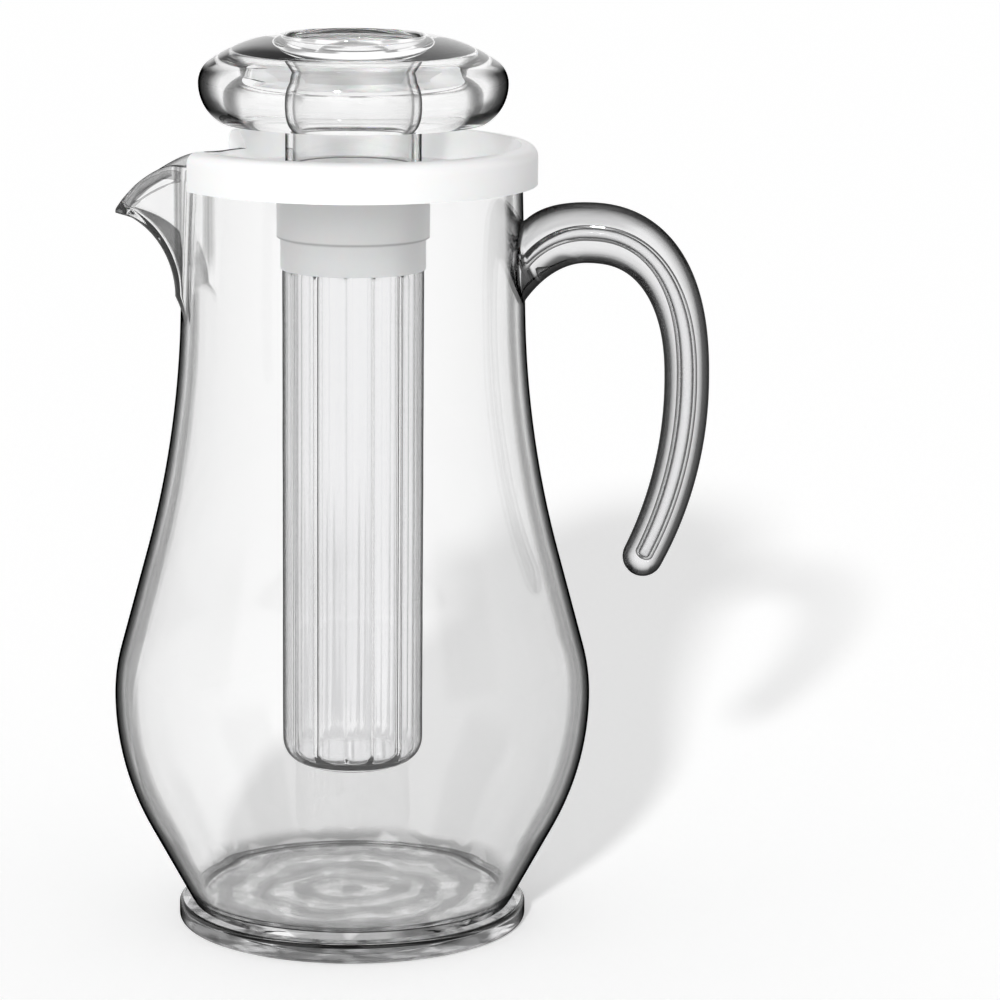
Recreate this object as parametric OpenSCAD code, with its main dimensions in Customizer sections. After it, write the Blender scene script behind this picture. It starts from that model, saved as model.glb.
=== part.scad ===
// Clear pitcher with a beak spout, a white drop-on lid and a hanging fluted ice core.
// Z is up, the base rests on z = 0 and the axis of the body is the Z axis.
// The handle points along +X and the spout along -X. All lengths are in millimetres.

/* [Foot] */
// Radius of the foot disc at its lip
foot_r = 55.7; // [48:0.1:62]
// Height of the foot disc
foot_h = 6.5; // [4:0.1:10]
// Rounding of the foot disc's edges
foot_round = 1.6; // [0.6:0.1:2.5]
// Radius of the shallow recess under the foot
foot_recess_r = 28.8; // [15:0.1:40]
// Depth of the recess under the foot
foot_recess_h = 2.2; // [0.5:0.1:4]

/* [Body] */
// Wall thickness of the body
wall = 3; // [2:0.1:4.5]
// Thickness of the body's own floor
floor_t = 3; // [2:0.1:5]
// Radius of the belly at its widest
belly_r = 75.8; // [65:0.1:85]
// Height of the widest point
belly_z = 74.3; // [60:0.1:90]
// Radius of the belly's curve below the widest point
low_arc_r = 87.6; // [70:0.1:110]
// Radius of the belly's curve above the widest point
high_arc_r = 56.3; // [40:0.1:80]
// Lean of the straight wall below the belly, in degrees
low_lean = 28.3; // [20:0.1:35]
// Lean of the straight shoulder above the belly, in degrees
high_lean = 15.2; // [10:0.1:20]
// Radius of the hollow curve from shoulder to neck
neck_arc_r = 320; // [200:1:500]
// Lean of the neck, in degrees
neck_lean = 1.6; // [0.5:0.1:4]
// Outer radius of the neck at its rim
neck_r = 52.9; // [45:0.1:60]
// Height of the neck's rim
rim_z = 244.3; // [220:0.1:270]

/* [Spout] */
// Wall thickness of the spout
spout_wall = 2.6; // [1.5:0.1:4]
// Half angle at which the spout leaves the neck, in degrees
spout_angle = 25; // [15:1:35]
// Distance from the neck's rim out to the nose's centre
nose_out = 19.1; // [14:0.1:28]
// Radius of the nose seen from above
nose_r = 3.4; // [2.8:0.1:5]
// Distance from the neck's rim in to the centre of the curve of the spout's rim
lip_arc_in = 14.9; // [10:0.1:20]
// Drop from the rim to the centre of the curve of the spout's rim
lip_arc_drop = 42.2; // [38:0.1:48]
// Radius of the curve of the spout's rim
lip_arc_r = 45.1; // [40:0.1:50]
// Distance from the neck's rim out to the centre of the curve under the spout
keel_arc_out = 24.6; // [20:0.1:30]
// Drop from the rim to the centre of the curve under the spout
keel_arc_drop = 41.3; // [36:0.1:48]
// Radius of the curve under the spout
keel_arc_r = 24; // [18:0.1:30]

/* [Handle] */
// Drop from the rim to the middle of the handle's root
root_drop = 30.5; // [25:0.1:40]
// Half height of the handle at its root
root_half = 13; // [9:0.1:16]
// Half width across the handle at its root
root_side = 9.5; // [7:0.1:12]
// Distance from the neck's rim out to the arch's top
arch_out = 21.1; // [16:0.1:28]
// Rise of the centre line from the root to the arch's top
arch_rise = 10; // [7:0.1:14]
// Half thickness of the handle at the arch's top
arch_half = 9.5; // [7:0.1:12]
// Distance from the arch's top out to the grip's centre line
grip_out = 31.6; // [25:0.1:40]
// Drop from the arch's top to where the grip is upright
grip_drop = 46.8; // [38:0.1:56]
// Half thickness of the grip
grip_half = 7; // [5.5:0.1:9]
// Half width across the grip
grip_side = 7.8; // [6:0.1:10]
// Radius of the curve of the grip's lower part
tail_arc_r = 125; // [100:0.5:150]
// Drop from there to the centre of the handle's tip
tip_drop = 55.5; // [45:0.1:65]
// Radius of the rounded tip
tip_r = 6.4; // [5:0.1:8]
// Radius of the gas channel inside the handle
core_r = 1.9; // [1.2:0.1:3]
// Distance from the channel's end to the tip
core_end = 6; // [4:0.1:10]

/* [Lid] */
// Reach of the lid past the neck's rim
lid_over = 4.9; // [4.2:0.1:8]
// Drop from the rim to the lid's lower edge
lid_drop = 6.3; // [4:0.1:10]
// Rise from the rim to the lid's top edge
lid_rise = 5.9; // [5:0.1:9]
// Rounding of the lid's top edge
lid_round = 3.6; // [2:0.1:5]
// Wall of the lid's plug at the recess floor
plug_wall = 2.6; // [2.2:0.1:4]
// How far the recess wall leans out from floor to top
recess_slope = 5.5; // [3:0.1:6.2]
// Drop from the rim to the recess floor
recess_drop = 3.3; // [2:0.1:3.8]
// Thickness of the lid's floor
lid_t = 2.5; // [2:0.1:4]
// Half angle of the notch for the spout, in degrees
notch_angle = 37; // [30:1:45]
// Depth of the notch into the lid's plug
notch_in = 0.6; // [0.3:0.1:1.5]
// Wall of the lid's socket
socket_wall = 2.5; // [2.1:0.1:4]
// Reach of the socket below the recess floor
socket_h = 20; // [17:0.1:25]
// Gap between moulded parts that move on each other
gap = 0.3; // [0.3:0.05:0.6]

/* [Ice core] */
// Outer radius of the core tube
tube_r = 22.3; // [18:0.1:26]
// Length of the core tube below the collar
tube_h = 159.8; // [135:0.1:168]
// Thickness of the core tube's floor
tube_floor = 4; // [2.5:0.1:6]
// Corner radius at the core tube's bottom
tube_round = 8; // [4:0.1:10]
// Number of flutes inside the core tube
flutes = 12; // [8:1:16]
// Radius of one flute
flute_r = 5.9; // [5:0.1:8]
// Wall of the tube where a flute is deepest
tube_wall = 2.5; // [1.8:0.1:4]
// Reach of the collar ring past the tube
collar_lip = 0.6; // [0.3:0.1:2]
// Height of the collar ring under the socket
collar_h = 10; // [8:0.1:14]
// Step from the tube in to its plain neck in the collar
neck_step = 1.1; // [0.6:0.1:1.4]
// Thickness of the collar above the tube's neck
collar_t = 2; // [1.5:0.1:3]
// Wall of the collar's spigot
spigot_wall = 2.8; // [2:0.1:4]
// Height of the collar's spigot in the socket
spigot_h = 11.5; // [9:0.1:14]
// Number of bayonet lugs on the spigot
lugs = 3; // [2:1:4]
// Height of the lugs above the socket's lower edge
lug_up = 5; // [4:0.1:6]
// Height of the lugs
lug_h = 2.2; // [1.5:0.1:3]
// Width of the lugs
lug_w = 7; // [4:0.1:10]
// Reach of the lugs into the socket's wall
lug_reach = 1; // [0.6:0.1:1.4]
// Turn from the lugs' rest place to their way out, in degrees
lug_turn = 45; // [30:5:60]

/* [Knob] */
// Outer radius of the knob
knob_r = 48.4; // [40:0.1:55]
// Height of the knob's widest point above the recess floor
knob_up = 28; // [23:0.1:34]
// Height of the knob below its widest point
knob_low_h = 11.8; // [9:0.1:12]
// Radius of the knob's curve below its widest point
knob_low_arc = 14.1; // [12:0.1:16]
// Radius of the knob's shoulder
knob_high_arc = 8.5; // [6:0.1:12]
// Turn of the shoulder's curve before the crown, in degrees
knob_turn = 55.7; // [45:0.1:65]
// Radius of the knob's crown curve
crown_arc = 48; // [35:0.5:70]
// Wall of the knob at its widest point
knob_wall = 7.9; // [6.7:0.1:12]
// Rise of the hollow above the knob's widest point
hollow_up = 8.5; // [7:0.1:10]
// Rounding of the hollow's upper corner
hollow_round = 6; // [3:0.1:9]
// Outer radius of the cup that plugs the core
cup_r = 21.3; // [18:0.1:24]
// Wall thickness of the cup
cup_wall = 2.3; // [1.5:0.1:3.5]
// Gap between the collar's spigot and the cup's floor
cup_gap = 1.5; // [0.5:0.1:3]
// Height of the cup's rim above the knob's widest point
cup_up = 13; // [11:0.1:14]
// Reach of the cup's flange on the lid
flange_out = 3.7; // [2:0.1:8]
// Thickness of the cup's flange
flange_t = 2.2; // [1.5:0.1:3]

/* [Hidden] */
$fn = 96;
EPS = 0.01;
BITE = EPS * 2;
BIG = 2 * knob_r + rim_z;
SPIN = 360;
body_z = foot_h;
floor_z = body_z + floor_t;
nose_x = neck_r + nose_out;
lip_arc_x = neck_r - lip_arc_in;
lip_arc_z = rim_z - lip_arc_drop;
keel_arc_x = neck_r + keel_arc_out;
keel_arc_z = rim_z - keel_arc_drop;
root_z = rim_z - root_drop;
arch_x = neck_r + arch_out;
arch_z = root_z + arch_rise;
grip_x = arch_x + grip_out;
grip_z = arch_z - grip_drop;
tip_z = grip_z - tip_drop;
lid_r = neck_r + lid_over;
lid_z = rim_z - lid_drop;
lid_top_z = rim_z + lid_rise;
plug_r = neck_r - wall - gap;
recess_floor_r = plug_r - plug_wall;
recess_r = recess_floor_r + recess_slope;
recess_z = rim_z - recess_drop;
notch_r = plug_r - notch_in;
socket_z = recess_z - socket_h;
collar_z = socket_z - collar_h;
tube_top_z = socket_z - collar_t;
tube_z = collar_z - tube_h;
flute_x = tube_r - tube_wall - flute_r;
collar_r = tube_r + collar_lip;
tube_neck_r = tube_r - neck_step;
spigot_z = socket_z + spigot_h;
lug_z = socket_z + lug_up;
knob_z = recess_z + knob_up;
knob_low_z = knob_z - knob_low_h;
hollow_r = knob_r - knob_wall;
hollow_z = knob_z + hollow_up;
cup_z = spigot_z + cup_gap;
cup_top_z = knob_z + cup_up;
flange_r = cup_r + flange_out;
low_x = belly_r - low_arc_r * (1 - cos(low_lean));
low_z = belly_z - low_arc_r * sin(low_lean);
high_x = belly_r - high_arc_r * (1 - cos(high_lean));
high_z = belly_z + high_arc_r * sin(high_lean);
shoulder_d = high_x * cos(high_lean) + high_z * sin(high_lean) + neck_arc_r;
neck_d = neck_r * cos(neck_lean) + rim_z * sin(neck_lean) + neck_arc_r;
turn_d = sin(high_lean - neck_lean);
hollow_x = (neck_d * sin(high_lean) - shoulder_d * sin(neck_lean)) / turn_d;
hollow_cz = (shoulder_d * cos(neck_lean) - neck_d * cos(high_lean)) / turn_d;
SIDES = 24;
STEPS = 8;
CAPS = 4;
GAP_BOND = EPS * 2;
ARCH_POWER = 0.84;
arch_a = grip_out;
arch_b = grip_drop;
root_x = neck_r + (rim_z - root_z) * tan(neck_lean);
root_dx = arch_x - root_x;
root_dz = arch_z - root_z;
root_arc = (root_dx * root_dx + root_dz * root_dz) / (2 * root_dz);
tail_end = asin((grip_z - tip_z) / tail_arc_r);
tail_core = tail_end - (core_r + core_end - tip_r) / tail_arc_r * SPIN / (2 * PI);
bore_r = cup_r + gap;
spigot_r = bore_r - gap;
socket_r = bore_r + socket_wall;
mouth_r = spigot_r - spigot_wall;
lug_r = bore_r + lug_reach;
lug_a = lug_w / lug_r * SPIN / (2 * PI);
gap_a = gap / lug_r * SPIN / (2 * PI);
knob_sx = knob_r - knob_high_arc;
crown_x = knob_sx - (crown_arc - knob_high_arc) * cos(knob_turn);
crown_z = knob_z - (crown_arc - knob_high_arc) * sin(knob_turn);
crown_end = knob_sx + knob_high_arc * cos(knob_turn);

function neck_at(z) = neck_r + (rim_z - z) * tan(neck_lean);

// The body's half outline, moved in by t along its own normal.
// Straight walls cross into the curves by a small bite, so that no join is a bare touch.
module body_outline(t, low, high) {
  in = t + BITE;
  lx = low_x - in * cos(low_lean);
  lz = low_z + in * sin(low_lean);
  hx = high_x - in * cos(high_lean);
  hz = high_z - in * sin(high_lean);
  ax = hollow_x - (neck_arc_r + in) * cos(high_lean);
  az = hollow_cz - (neck_arc_r + in) * sin(high_lean);
  bx = hollow_x - (neck_arc_r + in) * cos(neck_lean);
  bz = hollow_cz - (neck_arc_r + in) * sin(neck_lean);
  topx = bx - (high - bz) * tan(neck_lean);
  lowx = lx - (lz - low) * tan(low_lean);
  lap = 2 * wall;
  polygon([[0, low], [lowx, low], [lx, lz], [0, lz]]);
  intersection() {
    translate([belly_r - low_arc_r, belly_z]) circle(low_arc_r - t);
    translate([0, lz - lap]) square([belly_r, belly_z - lz + lap]);
  }
  intersection() {
    translate([belly_r - high_arc_r, belly_z]) circle(high_arc_r - t);
    translate([0, belly_z - lap]) square([belly_r, hz - belly_z + 2 * lap]);
  }
  polygon([[0, hz], [hx, hz], [ax - lap * tan(high_lean), az + lap], [0, az + lap]]);
  difference() {
    translate([0, az]) square([belly_r, bz - az]);
    translate([hollow_x, hollow_cz]) circle(neck_arc_r + in + BITE);
  }
  polygon([[0, bz - lap], [bx + lap * tan(neck_lean), bz - lap], [topx, high], [0, high]]);
}

// Plan of the spout, a wedge tangent to its round nose, with its walls moved in by t.
module spout_plan(t) {
  side = neck_r * sin(spout_angle);
  back = neck_r * cos(spout_angle);
  run = nose_x - back;
  a = atan2(side, run) - asin(nose_r / sqrt(run * run + side * side));
  r = nose_r - t;
  tx = nose_x + (r - BITE) * sin(a);
  ty = (r - BITE) * cos(a);
  deep = neck_r / 2;
  wide = side - (t + BITE) / cos(a) + (back - deep) * tan(a);
  polygon([[deep, wide], [tx, ty], [tx, -ty], [deep, -wide]]);
  translate([nose_x, 0]) circle(r);
}

// Side view of the spout between the curve of its rim and the curve under it.
module spout_side(t, top) {
  deep = neck_r / 2;
  difference() {
    intersection() {
      translate([lip_arc_x, lip_arc_z]) circle(top > 0 ? lip_arc_r : BIG);
      translate([deep, keel_arc_z]) square([nose_x, rim_z + max(-top, 0) - keel_arc_z]);
    }
    translate([keel_arc_x, keel_arc_z]) circle(keel_arc_r + t);
  }
}

module spout_solid(t, top) {
  intersection() {
    translate([0, 0, keel_arc_z - EPS]) linear_extrude(rim_z + BIG / 2 - keel_arc_z) spout_plan(t);
    rotate([90, 0, 0]) translate([0, 0, -neck_r]) linear_extrude(2 * neck_r) spout_side(t, top);
  }
}

module pitcher_body() color([0.86, 0.9, 0.92, 0.35]) {
  difference() {
    union() {
      rotate_extrude() body_outline(0, body_z, rim_z);
      mirror([1, 0, 0]) spout_solid(0, 1);
    }
    rotate_extrude() body_outline(wall, floor_z, rim_z + wall);
    mirror([1, 0, 0]) spout_solid(spout_wall, -wall);
  }
}

module foot() color([0.84, 0.88, 0.9, 0.35]) {
  side = foot_r - foot_round;
  rotate_extrude() difference() {
    union() {
      square([side, foot_h]);
      translate([0, foot_round]) square([foot_r, foot_h - 2 * foot_round]);
      translate([side, foot_round]) circle(foot_round);
      translate([side, foot_h - foot_round]) circle(foot_round);
    }
    square([foot_recess_r, foot_recess_h]);
  }
}

// Centre, outward direction and half thickness of the handle: root, arch, then tail.
function root_at(u) = let(x = root_x + u * root_dx, q = asin((arch_x - x) / root_arc))
  [[x, arch_z - root_arc * (1 - cos(q))], [0, 1], arch_half + (root_half - arch_half) * (1 - sin(90 * u)),
  grip_side + (root_side - grip_side) * (1 - sin(90 * u))];
function arch_at(t) = let(c = pow(cos(t), ARCH_POWER), s = pow(sin(t), ARCH_POWER), k = 2 / ARCH_POWER - 1,
  n = [pow(c, k) / arch_a, pow(s, k) / arch_b], l = sqrt(n[0] * n[0] + n[1] * n[1]))
  [[arch_x + arch_a * c, grip_z + arch_b * s], n / l,
  grip_half + (arch_half - grip_half) * sin(t) * sin(t), grip_side];
function tail_at(q) = let(w = q / tail_end)
  [[grip_x - tail_arc_r * (1 - cos(q)), grip_z - tail_arc_r * sin(q)], [cos(q), -sin(q)],
  grip_half + (tip_r - grip_half) * w * w, grip_side + (tip_r - grip_side) * w * w];
function along(f, q, d) = [f[0][0] - d * sin(q), f[0][1] - d * cos(q)];
function ring(c, v, half, side) = [for (i = [0:SIDES - 1]) let(a = SPIN * i / SIDES)
  [c[0] + v[0] * half * sin(a), side * cos(a), c[1] + v[1] * half * sin(a)]];
function saddle(half, side) = [for (i = [0:SIDES - 1]) let(a = SPIN * i / SIDES, y = side * cos(a),
  z = root_z + half * sin(a), r = neck_at(z) + GAP_BOND) [sqrt(r * r - y * y), y, z]];
function skin(f) = ring(f[0], f[1], f[2], f[3]);
function bore(f) = ring(f[0], f[1], core_r, core_r);
tip = tail_at(tail_end);
core_tip = tail_at(tail_core);
rings = concat(
  [for (k = [1:CAPS]) let(a = 90 * (1 - k / (CAPS + 1)))
    ring(along(tip, tail_end, tip_r * sin(a)), tip[1], tip_r * cos(a), tip_r * cos(a))],
  [for (k = [0:STEPS - 1]) skin(tail_at(tail_end * (1 - k / STEPS)))],
  [for (k = [0:2 * STEPS - 1]) skin(arch_at(90 * k / (2 * STEPS)))],
  [for (k = [0:STEPS - 2]) skin(root_at(1 - k / STEPS))],
  [saddle(root_half, root_side)],
  [saddle((root_half + core_r) / 2, (root_side + core_r) / 2)],
  [saddle(core_r, core_r)],
  [for (k = [2:STEPS]) bore(root_at(k / STEPS))],
  [for (k = [1:2 * STEPS]) bore(arch_at(90 * (1 - k / (2 * STEPS))))],
  [for (k = [1:STEPS]) bore(tail_at(tail_core * k / STEPS))],
  [for (k = [1:CAPS]) let(a = 90 * k / (CAPS + 1))
    ring(along(core_tip, tail_core, core_r * sin(a)), core_tip[1], core_r * cos(a), core_r * cos(a))]);
tip_pole = along(tip, tail_end, tip_r);
core_pole = along(core_tip, tail_core, core_r);

module handle() color([0.84, 0.88, 0.9, 0.35]) {
  n = len(rings);
  pts = concat([for (r = rings) each r], [[tip_pole[0], 0, tip_pole[1]], [core_pole[0], 0, core_pole[1]]]);
  sides = [for (j = [0:n - 2], i = [0:SIDES - 1]) let(k = (i + 1) % SIDES)
    each [[j * SIDES + i, j * SIDES + k, (j + 1) * SIDES + i],
    [j * SIDES + k, (j + 1) * SIDES + k, (j + 1) * SIDES + i]]];
  first = [for (i = [0:SIDES - 1]) [n * SIDES, (i + 1) % SIDES, i]];
  last = [for (i = [0:SIDES - 1]) [n * SIDES + 1, (n - 1) * SIDES + i, (n - 1) * SIDES + (i + 1) % SIDES]];
  polyhedron(pts, concat(sides, first, last));
}

module lid_section() {
  skirt_r = neck_at(lid_z) + gap;
  low = recess_z - lid_t;
  edge = lid_r - lid_round;
  side_z = lid_top_z - lid_round;
  polygon([[bore_r, socket_z], [socket_r, socket_z], [socket_r, low], [plug_r, low], [plug_r, rim_z],
    [skirt_r, rim_z], [skirt_r, lid_z], [lid_r, lid_z], [lid_r, side_z], [edge, side_z], [edge, lid_top_z],
    [recess_r, lid_top_z], [recess_floor_r, recess_z], [bore_r, recess_z]]);
  intersection() {
    translate([edge, side_z]) circle(lid_round);
    translate([edge - EPS, side_z - EPS]) square(lid_round + 2 * EPS);
  }
}

module ring_cut(r1, r2, z, h, a, start) rotate([0, 0, start]) rotate_extrude(angle = a)
  translate([r1, z]) square([r2 - r1, h]);

module lid() color([0.96, 0.96, 0.96]) {
  cut_a = lug_a + 2 * gap_a;
  difference() {
    rotate_extrude() lid_section();
    rotate([0, 0, SPIN / 2 - notch_angle]) rotate_extrude(angle = 2 * notch_angle)
      translate([notch_r, lid_z - gap]) square([lid_r, lid_top_z - lid_z + 2 * gap]);
    for (i = [0:lugs - 1]) {
      start = SPIN * i / lugs - cut_a / 2;
      way = lug_z + lug_h - socket_z + 3 * gap;
      ring_cut(bore_r - gap, lug_r + gap, lug_z, lug_h + gap, lug_turn + cut_a / 2, start);
      ring_cut(bore_r - gap, lug_r + 2 * gap, socket_z - gap, way, cut_a, start + lug_turn);
    }
  }
}

module tube_collar() color([0.95, 0.95, 0.95]) {
  rotate_extrude() {
    translate([tube_neck_r, collar_z]) square([collar_r - tube_neck_r, tube_top_z - collar_z]);
    translate([mouth_r, tube_top_z]) square([collar_r - mouth_r, socket_z - tube_top_z]);
    translate([mouth_r, socket_z]) square([spigot_r - mouth_r, spigot_z - socket_z]);
  }
  for (i = [0:lugs - 1]) ring_cut(spigot_r - gap, lug_r, lug_z, lug_h, lug_a, SPIN * i / lugs - lug_a / 2);
}

module ice_tube() color([0.88, 0.92, 0.94, 0.35]) {
  bore_top = flute_x + flute_r;
  difference() {
    rotate_extrude() {
      translate([0, tube_z]) square([tube_r - tube_round, tube_round]);
      translate([0, tube_z + tube_round]) square([tube_r, collar_z - tube_z - tube_round]);
      intersection() {
        translate([tube_r - tube_round, tube_z + tube_round]) circle(tube_round);
        translate([tube_r - tube_round, tube_z]) square(tube_round);
      }
      translate([0, collar_z]) square([tube_neck_r, tube_top_z - collar_z]);
    }
    translate([0, 0, tube_z + tube_floor]) linear_extrude(tube_top_z - tube_z) {
      for (i = [0:flutes - 1]) rotate(SPIN * (i + 0.5) / flutes) translate([flute_x, 0]) circle(flute_r);
      circle(flute_x);
    }
    translate([0, 0, collar_z]) cylinder(r = bore_top, h = tube_top_z);
  }
}

module knob_cap() color([0.86, 0.9, 0.92, 0.35]) {
  low_mid = knob_r - knob_low_arc;
  rim = cup_wall / 2;
  rotate_extrude() difference() {
    union() {
      intersection() {
        translate([crown_x, crown_z]) circle(crown_arc);
        translate([cup_r, knob_z]) square([crown_end - cup_r, crown_arc]);
      }
      intersection() {
        translate([knob_sx, knob_z]) circle(knob_high_arc);
        translate([knob_sx, knob_z]) square(knob_high_arc);
      }
      translate([cup_r, knob_low_z]) square([low_mid - cup_r, knob_z - knob_low_z]);
      intersection() {
        translate([low_mid, knob_z]) circle(knob_low_arc);
        translate([low_mid, knob_low_z]) square([knob_low_arc, knob_z - knob_low_z]);
      }
    }
    translate([cup_r - gap, knob_low_z - gap])
      square([hollow_r - cup_r + gap, hollow_z - hollow_round - knob_low_z + gap]);
    translate([cup_r - gap, knob_z])
      square([hollow_r - hollow_round - cup_r + gap, hollow_z - knob_z]);
    translate([hollow_r - hollow_round, hollow_z - hollow_round]) circle(hollow_round);
    translate([cup_r, crown_z + crown_arc]) rotate(SPIN / 8) square(2 * rim, center = true);
  }
}

module knob_cup() color([0.86, 0.9, 0.92, 0.35]) {
  rotate_extrude() {
    translate([cup_r - cup_wall, cup_z]) square([cup_wall, cup_top_z - cup_z]);
    translate([0, cup_z]) square([cup_r, cup_wall]);
    translate([cup_r - cup_wall, recess_z]) square([flange_r - cup_r + cup_wall, flange_t]);
  }
}

pitcher_body();
foot();
handle();
lid();
tube_collar();
ice_tube();
knob_cap();
knob_cup();
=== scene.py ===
# %% [markdown]
# # A clear pitcher with an ice core
#
# The pitcher is moulded in clear plastic: a bellied body on a thick foot, a beak spout and an open hook
# handle. A white lid drops on the neck, a clear knob stands in it, and a fluted tube for ice hangs
# below it. The CAD model gives every size. This lesson dresses it: it lays on the finishes, the light
# and the camera.

# %% Load the CAD frame
import math
import bpy
import bmesh
import numpy as np
from mathutils import Matrix, Vector


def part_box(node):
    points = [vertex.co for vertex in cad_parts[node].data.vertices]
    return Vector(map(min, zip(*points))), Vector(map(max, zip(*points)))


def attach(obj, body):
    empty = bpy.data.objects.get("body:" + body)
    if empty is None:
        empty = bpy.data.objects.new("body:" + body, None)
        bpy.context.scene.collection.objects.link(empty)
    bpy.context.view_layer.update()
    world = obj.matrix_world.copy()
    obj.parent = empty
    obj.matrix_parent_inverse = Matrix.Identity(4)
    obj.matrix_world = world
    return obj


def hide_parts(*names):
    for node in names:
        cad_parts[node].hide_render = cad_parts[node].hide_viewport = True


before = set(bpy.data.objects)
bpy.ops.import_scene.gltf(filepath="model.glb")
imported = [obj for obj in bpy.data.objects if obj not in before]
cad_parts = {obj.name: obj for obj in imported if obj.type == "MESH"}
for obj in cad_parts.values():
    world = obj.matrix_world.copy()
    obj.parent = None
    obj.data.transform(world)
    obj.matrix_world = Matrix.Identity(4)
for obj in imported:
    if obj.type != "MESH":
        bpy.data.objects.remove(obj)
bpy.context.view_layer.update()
MM = 0.001
scene = bpy.context.scene

# %% [markdown]
# ## The camera
#
# The picture was taken from a little above the lid, from some way off, so the sides hardly converge.
# A long lens far away gives that look. The handle lies 9 degrees towards the viewer.
# The directions are worked out from turn, pitch and roll, because a tracked target can't hold a roll.

# %% Place the camera
VIEW_TURN = math.radians(9)
YAW, PITCH, ROLL = math.radians(2.02), math.radians(11.24), math.radians(0.47)
CAMERA_BACK, CAMERA_UP = 1.325, 0.400
LENS = 153.0

turn = Matrix.Rotation(VIEW_TURN, 3, "Z")
ahead = turn @ Vector((math.sin(YAW) * math.cos(PITCH), math.cos(YAW) * math.cos(PITCH), -math.sin(PITCH)))
across = turn @ Vector((math.cos(YAW), -math.sin(YAW), 0))
upward = across.cross(ahead)
right = across * math.cos(ROLL) + upward * math.sin(ROLL)
top = upward * math.cos(ROLL) - across * math.sin(ROLL)
place = turn @ Vector((0, -CAMERA_BACK, CAMERA_UP))

camera = bpy.data.objects.new("camera", bpy.data.cameras.new("camera"))
camera.data.lens = LENS
camera.data.clip_end = 50
camera.matrix_world = Matrix.Translation(place) @ Matrix((right, top, -ahead)).transposed().to_4x4()
scene.collection.objects.link(camera)
scene.camera = camera
scene.view_settings.view_transform = "Standard"
print("camera at", [round(v, 3) for v in place])

# %% [markdown]
# ## Small helpers for node materials
#
# Each finish is a small tree of shader nodes. The first helper adds a node with its settings, the second
# starts a material, and the third turns a value into shares of light by a list of stops.


# %% Node helpers
def node(tree, kind, **settings):
    made = tree.nodes.new(kind)
    for key, value in settings.items():
        setattr(made, key, value)
    return made


def new_material(name):
    made = bpy.data.materials.new(name)
    made.use_nodes = True
    return made, made.node_tree, made.node_tree.nodes["Principled BSDF"]


def share_ramp(tree, value, stops):
    ramp = node(tree, "ShaderNodeValToRGB")
    elements = ramp.color_ramp.elements
    while len(elements) < len(stops):
        elements.new(0.5)
    for element, (at, share) in zip(elements, stops):
        element.position = at
        element.color = (share, share, share, 1)
    tree.links.new(value, ramp.inputs["Fac"])
    return ramp.outputs["Color"]


# %% [markdown]
# ## Moulded skin
#
# A moulded surface isn't a perfect mirror. It carries a very shallow waviness from cooling, and its polish
# differs a little from place to place. Both come from one noise group that every finish here shares.
# It gives out a polish value and a height, and each material decides how strongly to use them.

# %% The shared group for moulded skin
skin = bpy.data.node_groups.new("moulded_skin", "ShaderNodeTree")
for name, low in (("Wave Scale", 30.0), ("Polish", 0.03), ("Polish Spread", 0.02)):
    socket = skin.interface.new_socket(name, in_out="INPUT", socket_type="NodeSocketFloat")
    socket.default_value = low
for name in ("Roughness", "Height"):
    skin.interface.new_socket(name, in_out="OUTPUT", socket_type="NodeSocketFloat")
inlet = node(skin, "NodeGroupInput")
outlet = node(skin, "NodeGroupOutput")
where = node(skin, "ShaderNodeTexCoord")
wave = node(skin, "ShaderNodeTexNoise")
wave.inputs["Detail"].default_value = 2.0
spread = node(skin, "ShaderNodeMath", operation="MULTIPLY_ADD")
skin.links.new(where.outputs["Object"], wave.inputs["Vector"])
skin.links.new(inlet.outputs["Wave Scale"], wave.inputs["Scale"])
skin.links.new(wave.outputs["Fac"], spread.inputs[0])
skin.links.new(inlet.outputs["Polish Spread"], spread.inputs[1])
skin.links.new(inlet.outputs["Polish"], spread.inputs[2])
skin.links.new(spread.outputs[0], outlet.inputs["Roughness"])
skin.links.new(wave.outputs["Fac"], outlet.inputs["Height"])
print("group", skin.name, "is ready")


# %% Use the skin in a material
def add_skin(tree, shader, scale, polish, spread_by, depth):
    group = node(tree, "ShaderNodeGroup", node_tree=skin)
    group.inputs["Wave Scale"].default_value = scale
    group.inputs["Polish"].default_value = polish
    group.inputs["Polish Spread"].default_value = spread_by
    bump = node(tree, "ShaderNodeBump")
    bump.inputs["Strength"].default_value = 1.0
    bump.inputs["Distance"].default_value = depth
    tree.links.new(group.outputs["Roughness"], shader.inputs["Roughness"])
    tree.links.new(group.outputs["Height"], bump.inputs["Height"])
    tree.links.new(bump.outputs["Normal"], shader.inputs["Normal"])


# %% [markdown]
# ## Upright walls only
#
# A level surface, such as the top of the knob or the floor inside the body, is seen at a low angle from
# nearly everywhere. The dark edge of the next recipe would turn it dark all over. This group gives 1 on
# upright walls and falls to 0 on level ones, so that each finish can leave the level ones clear. Above
# Free Height it gives 1 everywhere, because the picture shows a dark edge on the spout's rim, which is
# level too.

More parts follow.
